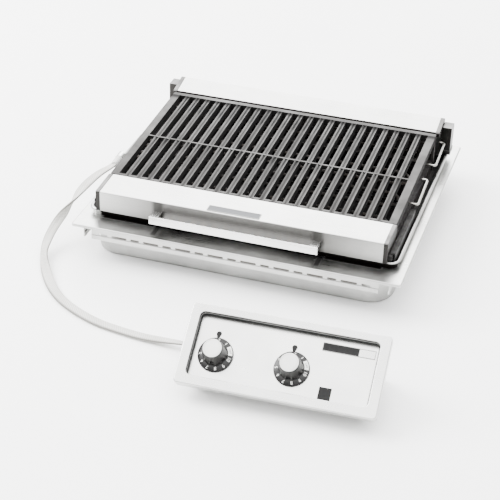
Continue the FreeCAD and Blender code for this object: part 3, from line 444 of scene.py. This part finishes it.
# Painted shade on its upright face: light all over, a painted reflection of the handle's dark back between
# the posts, and painted shadow round the posts
upright_face = (-240.0, -234.9)
painted_shade(front_steel, *upright_face, 270.0, 3.0, ("5C5B59", "6A6967"), 0.4, soft=110.0, most=0.85)
painted_shade(front_steel, *upright_face, 148.0, -3.0, ("646361", "747371"), 0.42, soft=6.0)
for middle in (-148.0, 143.0):
    painted_shade(front_steel, *upright_face, 14.0, middle, ("2A2928", "343332"), 0.5, soft=8.0, most=0.8)
eased("front_cover", 0.3, front_steel, "grease_drawer")
eased("grease_trough", 0.25, drawn_steel, "grease_drawer")
for side in ("left", "right"):
    eased("drawer_arm_" + side, 0.4, runner_steel, "grease_drawer")

# Die-cast zinc with a satin nickel plate, slightly pebbled: mid grey on top, with
# painted shade that leaves the sides dark
cast_zinc, tree, shader = new_material("satin_nickel_die_casting", Metallic=1.0)
place = from_texture(tree, "Object")
pebble = noise(tree, place, 650.0, 2.0)
breath = noise(tree, place, 30.0, 3.0)
top_tone = blend_colours(tree, spread(tree, breath, 0, 1, 0.35, 0.65), colour("454443"), colour("585756"))
upward = split(tree, from_texture(tree, "Normal"))["Z"]
tone = blend_colours(tree, spread(tree, upward, 0, 1, 0.3, 0.7), colour("2E2D2C"), top_tone)
tree.links.new(tone, shader.inputs["Base Color"])
tree.links.new(spread(tree, breath, 0.42, 0.3, 0.3, 0.7), shader.inputs["Roughness"])
emboss(tree, shader, pebble, 0.05, 0.2)
for side in ("left", "right"):
    eased("front_end_plate_" + side, 0.6, cast_zinc, "grease_drawer")


# Handle
# A flat bar of bright-drawn stainless steel, chamfered at the front, screwed
# through the drawer front onto two square posts.
drawn_tones = ("EEEEEC", "DCDCDA")
polished = brushed_metal("bright_drawn_stainless_steel", *drawn_tones, 0.2, "x", grain=0.9, wear=0.04)
eased("handle_bar", 0.3, polished, "grease_drawer")
post_steel = brushed_metal("drawn_post_steel", *drawn_tones, 0.25, "x", grain=0.9, wear=0.04)
tree = post_steel.node_tree
upward = split(tree, from_texture(tree, "Normal"))["Z"]
# Painted shade: the sides are dark, only the tops keep the bar's bright finish
overlaid(post_steel, spread(tree, upward, 1, 0, 0.2, 0.7), colour("4A4948"))
eased("handle_posts", 0.5, post_steel, "grease_drawer")
zinc_screw = brushed_metal("zinc_plated_screw_steel", "D9DADA", "B9BABD", 0.3, "y", grain=0.6)
eased("handle_screws", 0.3, zinc_screw, "grease_drawer")


# Blank name plate
# A thin etched aluminium plate with a raised border, riveted to the drawer's
# top; its field is left bare.
etched, tree, shader = new_material("etched_aluminium", Metallic=0.9)
place = from_texture(tree, "Object")
frost = noise(tree, place, 1500.0, 2.0)
tone = blend_colours(tree, frost, colour("47484A"), colour("565759"))
tree.links.new(tone, shader.inputs["Base Color"])
tree.links.new(spread(tree, frost, 0.45, 0.6), shader.inputs["Roughness"])


def bordered_plate(low, high, thickness, border, place):
    """Thin plate with a raised rim round a sunk field; sizes and corners in mm."""
    form = bmesh.new()
    bmesh.ops.create_cube(form, size=1.0)
    size = Vector((high[0] - low[0], high[1] - low[1], thickness))
    middle = Vector(((low[0] + high[0]) / 2, (low[1] + high[1]) / 2, thickness / 2))
    bmesh.ops.scale(form, verts=form.verts, vec=size * MM)
    bmesh.ops.translate(form, verts=form.verts, vec=middle * MM)
    half_thick = thickness * MM / 2
    upright = [edge for edge in form.edges if abs((edge.verts[1].co - edge.verts[0].co).z) > half_thick]
    bmesh.ops.bevel(form, geom=upright, offset=0.8 * MM, offset_type="OFFSET", affect="EDGES",
                    segments=4, profile=0.5, material=-1)
    top = max(form.faces, key=lambda face: face.calc_center_median().z)
    bmesh.ops.inset_region(form, faces=[top], thickness=border * MM, use_even_offset=True)
    bmesh.ops.inset_region(form, faces=[top], thickness=0.2 * MM, depth=-thickness * 0.35 * MM)
    top.material_index = 1
    bmesh.ops.transform(form, matrix=place, verts=form.verts)
    return form


slope = Matrix.Rotation(math.radians(2.2), 4, "X")
name_plate_size = (96.0, 17.0)
low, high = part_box("name_plate")
corner = Matrix.Translation((low.x, low.y, low.z + 0.01 * MM)) @ slope
form = bordered_plate((0.0, 0.0), name_plate_size, 0.8, 1.2, corner)
rim_metal = brushed_metal("dull_aluminium_rim", "7A7A78", "6A6A68", 0.35, "x", grain=0.9)
plate = as_object(form, "blank_name_plate", rim_metal, etched)
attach(plate, "grease_drawer")
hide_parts("name_plate")


# Rear cover, its end plates, posts and back panel
# The fixed splash cover behind the grate, folded like the drawer's front, on
# two square posts that stand on the collar.
cover_steel = brushed_metal("belt_polished_cover_steel", *sheet_finish, "x")
# Painted shade along its front edge
painted_shade(cover_steel, 160.0, 174.2, 300.0)
eased("rear_cover", 0.3, cover_steel)
eased("rear_back_panel", 0.3, stainless)
for side in ("left", "right"):
    eased("rear_end_plate_" + side, 0.6, cast_zinc)
    eased("rear_post_" + side, 0.6, cast_zinc)


# Terminal box
# A small folded box on the collar's left side, where the elements' cold ends
# meet the control leads; a steatite block inside, a flat lid over it.
box_steel = brushed_metal("plain_box_steel", "8E8E8C", "767674", 0.4, "y")
eased("terminal_box", 0.3, box_steel)
eased("terminal_box_lid", 0.3, box_steel)

# Steatite: unglazed ivory ceramic, fine grain, dry sheen
steatite, tree, shader = new_material("steatite_ceramic", IOR=1.55)
place = from_texture(tree, "Object")
grains = noise(tree, place, 900.0, 3.0)
tone = blend_colours(tree, grains, colour("E2DCCB"), colour("F1EDE0"))
tree.links.new(tone, shader.inputs["Base Color"])
tree.links.new(spread(tree, grains, 0.5, 0.65), shader.inputs["Roughness"])
dress(steatite, "terminal_block")

fitting_metal = brushed_metal("plated_fitting_steel", "D6D6D4", "BDBDBB", 0.3, "y", grain=0.8)
eased("angle_connector", 0.5, fitting_metal)


# Control cord
# High-temperature leads in a flat woven glass-fibre sleeve, limp and 18 mm
# wide. It drops from the angle connector, turns over beside the deck's corner,
# leans once more where it meets the table and lies flat up to the panel's gland.
# The length is in metres, all else in mm
cord_length = 0.70
sleeve_width = 18.0
sleeve_thickness = 4.6
mouth = (-297.0, -52.0, 92.0)
route = [
    mouth,
    (-297, -80, 92),
    (-313, -114, 90),
    (-327, -160, 79),
    (-335, -194, 61),
    (-350, -228, 38),
    (-353, -264, 20),
    (-342, -303, 12),
    (-320, -340, 6),
    (-291, -380, 3.5),
    (-256, -413, 3.5),
    (-212, -438, 3.5),
    (-171, -454, 3.5),
    (-131, -461, 3.5),
    (-90, -467, 4),
    (-50, -470, 8),
    (-14.82, -473.95, 14),
    (15.16, -472.905, 14),
]
# Share of the full width at each point, and the turn of the flat side
widths = [0.5, 0.8, 1, 1, 0.92, 0.92] + [1] * 9 + [0.9, 0.56, 0.5]
turns = [10, 10, 4, -6, 65, 165, 195, 240, 205] + [180] * 9

line = bpy.data.curves.new("cord_line", "CURVE")
line.dimensions = "3D"
line.twist_mode = "Z_UP"
line.resolution_u = 10
spline = line.splines.new("NURBS")
spline.points.add(len(route) - 1)
for point, spot, width, turn in zip(spline.points, route, widths, turns):
    point.co = (*(Vector(spot) * MM), 1.0)
    point.radius = width
    point.tilt = math.radians(turn)
spline.order_u = 3
spline.use_endpoint_u = True
line_object = bpy.data.objects.new("cord_line", line)
centre_line = bpy.data.meshes.new_from_object(line_object)
bpy.context.scene.collection.objects.link(line_object)

# Section of the sleeve: two leads side by side under the weave
section = bpy.data.curves.new("sleeve_section", "CURVE")
ring = section.splines.new("NURBS")
half = sleeve_width / 2 * MM
rise = sleeve_thickness / 2 * MM
quarter = [(1, 0.8), (0.5, 1.3)]
outline = [(1, 0), *quarter, (0, 0.75), *[(-across, up) for across, up in reversed(quarter)]]
outline += [(-across, -up) for across, up in outline]
ring.points.add(len(outline) - 1)
for point, (across, up) in zip(ring.points, outline):
    point.co = (across * half, up * rise, 0.0, 1.0)
ring.order_u = 3
ring.use_cyclic_u = True
section.resolution_u = 3
section_object = bpy.data.objects.new("sleeve_section", section)
bpy.context.scene.collection.objects.link(section_object)
line.bevel_mode = "OBJECT"
line.bevel_object = section_object
line.use_fill_caps = True
drawn = line_object.evaluated_get(bpy.context.evaluated_depsgraph_get())
sleeve_mesh = bpy.data.meshes.new_from_object(drawn)
bpy.data.objects.remove(line_object)
bpy.data.objects.remove(section_object)

# Woven glass fibre: white, dull, plaited on the bias and soiled in clouds, with painted shade along its
# two folds
braid, tree, shader = new_material("woven_glass_fibre_sleeve", Roughness=0.8, IOR=1.5)
uv = from_texture(tree, "UV")
place = from_texture(tree, "Object")
# Yarns 0.8 mm apart on the real sleeve, drawn 2 mm apart so that they show
weave_repeat = 0.004
repeats_around = 10.0
inputs = {"Vector": uv, "Scale": (cord_length / weave_repeat, repeats_around, 1.0)}
scaled = add_node(tree, "ShaderNodeMapping", inputs=inputs).outputs["Vector"]
yarns = []
for lean in (45, -45):
    inputs = {"Vector": scaled, "Rotation": (0, 0, math.radians(lean))}
    turned = add_node(tree, "ShaderNodeMapping", inputs=inputs).outputs["Vector"]
    inputs = {"Vector": turned, "Scale": 0.45}
    yarns.append(add_node(tree, "ShaderNodeTexWave", {"wave_profile": "SIN"}, inputs).outputs["Fac"])
weave = reckon(tree, "MAXIMUM", yarns[0], yarns[1])
soil = noise(tree, place, 25.0, 4.0)
clean = blend_colours(tree, spread(tree, weave, 0, 1, 0.2, 0.9), colour("8F8E8A"), colour("C6C5C1"))
worn = blend_colours(tree, spread(tree, soil, 0, 0.35, 0.45, 0.75), clean, colour("8A8780"))
around = split(tree, uv)["Y"]
around = reckon(tree, "MULTIPLY", around, 4 * math.pi)
fold_shade = reckon(tree, "COSINE", around)
tone = blend_colours(tree, spread(tree, fold_shade, 0, 0.9, 0.2, 1.0), worn, colour("4E4C47"))
tree.links.new(tone, shader.inputs["Base Color"])
emboss(tree, shader, weave, 0.35, 0.6)

form = bmesh.new()
form.from_mesh(sleeve_mesh)
cord = as_object(form, "sleeved_control_cord", braid)
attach(cord, "charbroiler")
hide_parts("control_cord")


def lathe(points, place, steps=64, turn=360.0, start=0.0):
    """Turn a profile of (radius, height) points in mm about its axis."""
    form = bmesh.new()
    ring = [form.verts.new((radius * MM, 0.0, height * MM)) for radius, height in points]
    edges = [form.edges.new((ring[index - 1], ring[index])) for index in range(1, len(ring))]
    if points[0][0] > 0 and points[-1][0] > 0:
        edges.append(form.edges.new((ring[-1], ring[0])))
    ahead = Matrix.Rotation(math.radians(start), 3, "Z")
    bmesh.ops.rotate(form, verts=form.verts, cent=(0, 0, 0), matrix=ahead)
    whole = turn == 360.0
    bmesh.ops.spin(form, geom=ring + edges, cent=(0, 0, 0), axis=(0, 0, 1), angle=math.radians(turn),
                   steps=steps, use_merge=whole)
    if not whole:
        bmesh.ops.holes_fill(form, edges=[edge for edge in form.edges if edge.is_boundary])
    bmesh.ops.remove_doubles(form, verts=form.verts, dist=0.001 * MM)
    bmesh.ops.recalc_face_normals(form, faces=form.faces)
    bmesh.ops.transform(form, matrix=place, verts=form.verts)
    return form


# Ribbed silicone boots where the sleeve leaves the connector and the gland
silicone, tree, shader = new_material("grey_silicone_rubber", IOR=1.42, Roughness=0.55)
place = from_texture(tree, "Object")
bloom = noise(tree, place, 160.0, 4.0)
tone = blend_colours(tree, bloom, colour("B9B9B7"), colour("CECECB"))
tree.links.new(tone, shader.inputs["Base Color"])
# Four ribs, each narrower than the one before, with grooves between them, in mm
boot_profile = [
    (0, 0), (7.2, 0), (7.4, 1), (7.4, 4), (6.7, 4.6),
    (6.7, 6), (7.0, 6.6), (7.0, 9), (6.4, 9.6),
    (6.4, 11), (6.7, 11.6), (6.7, 14), (6.2, 14.6),
    (6.2, 16), (6.4, 16.6), (6.4, 19), (6.0, 20),
    (5.9, 23), (5.4, 23.6), (0, 23.6),
]
for name, spot, towards in (("connector_boot", route[0], route[1]), ("gland_boot", route[-1], route[-2])):
    turn = (Vector(towards) - Vector(spot)).to_track_quat("Z", "Y").to_matrix().to_4x4()
    boot = as_object(lathe(boot_profile, Matrix.Translation(Vector(spot) * MM) @ turn, 40), name, silicone)
    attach(boot, "charbroiler")


# Control panel
# A satin bezel frames the sunk control plate; behind it a folded box holds
# the two infinite switches. The badge and the printed patch are left bare.
satin = brushed_metal("satin_anodised_aluminium", "D0D0CE", "C4C4C2", 0.3, "x", grain=0.9, wear=0.03)
# The panel's own frame: its lower left front corner, its turn and its lean
panel_corner = (14.7, -603.0, 34.0)
panel_turn = 2.0
panel_lean = 36.0
recess = 14.0
panel = Matrix.Translation(Vector(panel_corner) * MM)
for angle, axis in ((panel_turn, "Z"), (panel_lean, "X")):
    panel = panel @ Matrix.Rotation(math.radians(angle), 4, axis)
plate_face = panel @ Matrix.Translation((0, 0, -recess * MM))
from_panel = panel.inverted()
bezel = eased("panel_bezel", 1.0, satin, segments=3,
              accept=lambda spot: (from_panel @ spot).z > -0.3 * MM)


def in_panel(tree, axis):
    """Place along one axis of the panel's own frame, as a texture value."""
    direction = panel.to_3x3() @ Vector(axis)
    inputs = {0: from_texture(tree, "Object"), 1: direction}
    along = add_node(tree, "ShaderNodeVectorMath", {"operation": "DOT_PRODUCT"}, inputs).outputs["Value"]
    return reckon(tree, "SUBTRACT", along, direction.dot(panel.to_translation()))


# Painted shade on the opening's upper and left walls, with a painted highlight line along its middle
recess_shade, tree, shader = new_material("painted_shade_on_recess_walls", IOR=1.5, Roughness=0.6)
shader.inputs["Specular IOR Level"].default_value = 0.2
place = from_texture(tree, "Object")
middle = reckon(tree, "ADD", in_panel(tree, (0, 0, 1)), recess / 2 * MM)
highlight_line = reckon(tree, "ABSOLUTE", middle)
bloom = noise(tree, place, 220.0, 3.0)
shade_tone = blend_colours(tree, bloom, colour("1B1B1B"), colour("2C2C2C"))
tone = blend_colours(tree, spread(tree, highlight_line, 1.0, 0.0, 0.8 * MM, 2.4 * MM), shade_tone, colour("8A8A88"))
tree.links.new(tone, shader.inputs["Base Color"])
bezel.data.materials.append(recess_shade)
# The two walls are found by their place and facing, in the panel's own millimetres
least_facing = 0.35
for face in bezel.data.polygons:
    spot = (from_panel @ face.center) / MM
    outward = from_panel.to_3x3() @ face.normal
    upper = spot.y > 112.0 and outward.y < -least_facing
    left = spot.x < 28.0 and spot.y > 16.2 and outward.x > least_facing
    inside = 15.0 < spot.x < 307.0 and spot.y < 124.0 and spot.z < -0.6
    if inside and (upper or left):
        face.material_index = 1

# Control plate: satin stainless, a touch brighter than the bezel
plate_metal = brushed_metal("satin_control_plate", "DEDEDC", "D0D0CE", 0.26, "x", grain=0.9)
tree = plate_metal.node_tree
# Painted shadow of the recess walls on the plate along the top and the left, and thinly at the right
for axis, edge, step in (((0, 1, 0), 115.0, 5.0), ((1, 0, 0), 18.6, -0.8), ((1, 0, 0), 301.6, 1.6)):
    wall_shadow = spread(tree, in_panel(tree, axis), 0.0, 0.8, edge * MM, (edge + step) * MM)
    overlaid(plate_metal, wall_shadow, colour("242424"))
eased("control_plate", 0.2, plate_metal)
eased("panel_back_box", 0.4, cross_brushed)
eased("cord_gland", 0.4, fitting_metal)
eased("switch_nuts", 0.25, zinc_screw)


def hard_skin(name, light, dark, roughness):
    """Hard smooth skin with faint flow marks: a thermoset, an enamel or an ink."""
    material, tree, shader = new_material(name, IOR=1.5)
    place = from_texture(tree, "Object")
    flow = noise(tree, place, 120.0, 4.0, Distortion=1.2)
    tone = blend_colours(tree, spread(tree, flow, 0, 1, 0.3, 0.7), colour(dark), colour(light))
    tree.links.new(tone, shader.inputs["Base Color"])
    gloss = spread(tree, flow, roughness - 0.06, roughness + 0.08, 0.3, 0.7)
    tree.links.new(gloss, shader.inputs["Roughness"])
    emboss(tree, shader, flow, 0.05, 0.15)
    return material


# Phenolic moulding: hard and slightly glossy
switch_case = hard_skin("brown_phenolic_switch_case", "3A2E27", "261D18", 0.45)
for side in ("left", "right"):
    eased("switch_body_" + side, 0.4, switch_case)

# Black enamel fired into the badge's left field, bare metal in its right field
enamel = hard_skin("black_stove_enamel", "1C1C1C", "101010", 0.6)
enamel.node_tree.nodes["Principled BSDF"].inputs["Specular IOR Level"].default_value = 0.15
badge_low = (216.0, 98.0)
badge_high = (300.0, 112.0)
field_edge = 274.0 * MM
form = bordered_plate(badge_low, badge_high, 0.8, 0.9, plate_face)
bmesh.ops.bisect_plane(form, geom=form.verts[:] + form.edges[:] + form.faces[:], dist=0.001 * MM,
                       plane_co=plate_face @ Vector((field_edge, 0, 0)),
                       plane_no=panel.to_3x3() @ Vector((1, 0, 0)))
for face in form.faces:
    across = (from_panel @ face.calc_center_median()).x
    if face.material_index == 1 and across > field_edge:
        face.material_index = 2
badge = as_object(form, "blank_badge", rim_metal, enamel, satin)
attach(badge, "charbroiler")
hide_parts("badge_plate")

# Dark printed patch near the plate's lower edge
patch_size = (20.0, 26.0, 0.2)
patch_middle = (235.0, 27.0, 0.1)
form = bmesh.new()
bmesh.ops.create_cube(form, size=1.0)
bmesh.ops.scale(form, verts=form.verts, vec=Vector(patch_size) * MM)
bmesh.ops.translate(form, verts=form.verts, vec=Vector(patch_middle) * MM)
bmesh.ops.bevel(form, geom=form.edges[:], offset=0.08 * MM, affect="EDGES", segments=1,
                profile=0.5, material=-1)
bmesh.ops.transform(form, matrix=plate_face, verts=form.verts)
patch = as_object(form, "printed_patch", enamel)
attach(patch, "charbroiler")


# Knobs
# Each switch shaft carries a phenolic dial skirt with printed figures, a
# fluted phenolic grip and a turned aluminium cap. The plate has an inked
# pointer over each dial.
phenolic = hard_skin("black_phenolic_grip", "1D1C1C", "0D0D0D", 0.32)
phenolic.node_tree.nodes["Principled BSDF"].inputs["Specular IOR Level"].default_value = 0.3
turned_cap = brushed_metal("turned_aluminium_cap", "D0D0CE", "BEBEBC", 0.34, "x", grain=0.7, wear=0.03)
white_ink = hard_skin("white_dial_ink", "F4F4F0", "E8E8E4", 0.4)
# Places of the spindles on the plate in mm, and the dial's division in degrees
spindles = (("left", 53.5), ("right", 176.5))
spindle_height = 59.0
off_start = 5.0
off_turn = 35.0
figure_step = 32.5
# Start and slope of the dial's cone, and its printed figures, in mm
cone_radius = 20.5
cone_height = 5.8
dial_slope = math.atan2(2.9, 8.0)
figure_radius = 23.6
figure_size = 7.2
word_size = 5.0
# Profiles of the turned pieces as (radius, height over the plate) in mm
dial_profile = [
    (8.5, 4.6), (8.5, 5.8), (19.9, 5.8), (20.5, 5.72), (28.0, 3.05), (28.4, 2.75), (28.5, 2.3),
    (28.4, 1.8), (28.2, 1.7), (27.3, 1.7), (19.3, 4.6),
]
cap_profile = [
    (0, 32.5), (15.0, 32.5), (15.0, 33.6), (14.7, 33.9), (13.2, 33.9), (12.9, 33.65),
    (12.5, 33.65), (12.2, 33.9), (6.0, 34.0), (0, 34.0),
]
# Round head of the pointer over the dial and its place, in mm; its lower half becomes the tail
pointer_radius = 4.4
pointer_height = 94.6
pointer_left = 3.0
pointer_thickness = 0.12
tail_stretch = 3.0
tail_taper = 14.0


def dial_height(radius):
    """Height over the plate of the dial's cone at a radius, in mm."""
    return cone_height - (radius - cone_radius) * math.tan(dial_slope)


# White sector behind the word OFF, from just under the cone's skin to just over it
off_profile = [(radius, dial_height(radius) + lift)
               for radius, lift in ((20.9, -0.2), (20.9, 0.08), (27.0, 0.08), (27.0, -0.2))]


def on_cone(centre, bearing, lift):
    """Place for a figure that reads from outside, a little over the dial's cone in mm."""
    out = Vector((figure_radius, 0, dial_height(figure_radius) + lift)) * MM
    return (centre @ Matrix.Rotation(math.radians(bearing), 4, "Z") @ Matrix.Translation(out)
            @ Matrix.Rotation(dial_slope, 4, "Y") @ Matrix.Rotation(math.radians(-90), 4, "Z"))


def add_label(form, text, size, place):
    """Add a printed figure, 0.1 mm thick, to a bmesh."""
    words = bpy.data.curves.new("figure", "FONT")
    words.body = text
    words.size = size * MM
    words.extrude = 0.05 * MM
    words.align_x = "CENTER"
    words.align_y = "CENTER"
    writing = bpy.data.objects.new("figure", words)
    flat = bpy.data.meshes.new_from_object(writing)
    flat.transform(place)
    form.from_mesh(flat)
    bpy.data.objects.remove(writing)


for side, across in spindles:
    body = "knob_" + side
    centre = plate_face @ Matrix.Translation(Vector((across, spindle_height, 0)) * MM)
    dress(zinc_screw, "switch_spindle_" + side)

    dial = as_object(lathe(dial_profile, centre, 96), "dial_" + side, phenolic)
    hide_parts("knob_dial_" + side)
    off_sector = as_object(lathe(off_profile, centre, 12, off_turn, off_start),
                           "dial_off_" + side, white_ink)
    marks = bmesh.new()
    for number in range(10):
        spot = on_cone(centre, off_start - figure_step * (number + 0.5), 0.05)
        add_label(marks, str(10 - number), figure_size, spot)
    figures = as_object(marks, "dial_figures_" + side, white_ink)
    marks = bmesh.new()
    add_label(marks, "OFF", word_size, on_cone(centre, off_start + off_turn / 2, 0.12))
    off_word = as_object(marks, "dial_off_word_" + side, phenolic)

    eased("knob_grip_" + side, 0.7, phenolic, body, segments=3)
    cap = as_object(lathe(cap_profile, centre, 72), "cap_" + side, turned_cap)
    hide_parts("knob_cap_" + side)
    for piece, slot in ((dial, "knob_plastic"), (off_sector, "cap_metal"), (figures, "cap_metal"),
                        (off_word, "knob_plastic"), (cap, "cap_metal")):
        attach(piece, body)

    # Inked pointer: a round head with a tail down to the dial
    form = bmesh.new()
    bmesh.ops.create_circle(form, cap_ends=True, radius=pointer_radius * MM, segments=24)
    for vertex in form.verts:
        if vertex.co.y < 0:
            vertex.co.y *= tail_stretch
            vertex.co.x *= 1 + vertex.co.y / (tail_taper * MM)
    top = bmesh.ops.extrude_face_region(form, geom=form.faces[:])["geom"]
    bmesh.ops.translate(form, verts=[item for item in top if isinstance(item, bmesh.types.BMVert)],
                        vec=(0, 0, pointer_thickness * MM))
    bmesh.ops.recalc_face_normals(form, faces=form.faces)
    spot = plate_face @ Matrix.Translation(Vector((across - pointer_left, pointer_height, 0.01)) * MM)
    bmesh.ops.transform(form, matrix=spot, verts=form.verts)
    pointer = as_object(form, "pointer_" + side, enamel)
    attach(pointer, "charbroiler")
